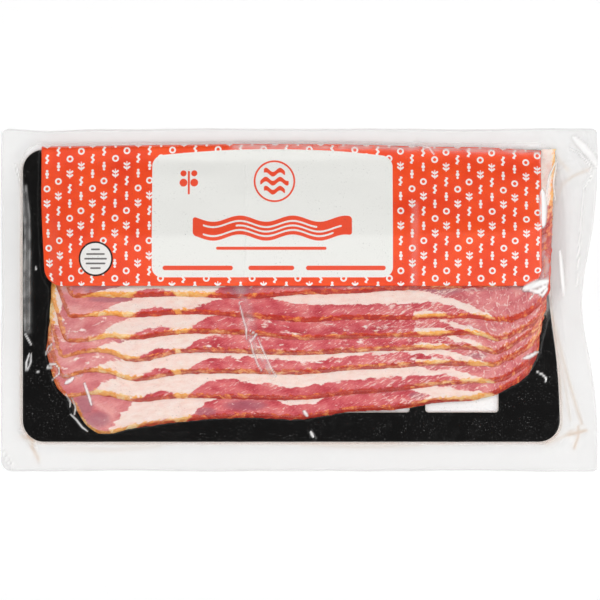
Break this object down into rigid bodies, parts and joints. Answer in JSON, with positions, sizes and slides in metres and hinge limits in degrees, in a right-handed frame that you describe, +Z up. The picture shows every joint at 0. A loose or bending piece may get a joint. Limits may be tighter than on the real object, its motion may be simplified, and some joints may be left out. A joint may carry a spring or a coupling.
{
  "type": "bacon pack",
  "caption": "Flat vacuum pack of shingled thick bacon slices on a black card whose printed flap folds over them, sealed in clear film with a wide flange.",
  "frame": {"origin": "centre of the pack's underside, where it rests", "axes": "+Z up, +X along the slices to the picture's right, +Y towards the card's fold, the picture's top"},
  "size_m": [0.294, 0.169, 0.0203],
  "materials": {
    "clear_film": "clear co-extruded vacuum film, glossy, knurled along its seal",
    "printed_card": "coated paperboard, orange-red print on the flap and black inside, satin",
    "bacon": "cured and smoked pork belly, moist, streaked with white fat, with an orange-brown rind side"
  },
  "bodies": {
    "root": {"film_pouch": "clear_film", "card": "printed_card", "slice_01": "bacon", "slice_02": "bacon", "slice_03": "bacon", "slice_04": "bacon", "slice_05": "bacon", "slice_06": "bacon", "slice_07": "bacon", "slice_08": "bacon", "slice_09": "bacon", "slice_10": "bacon"}
  },
  "joints": []
}
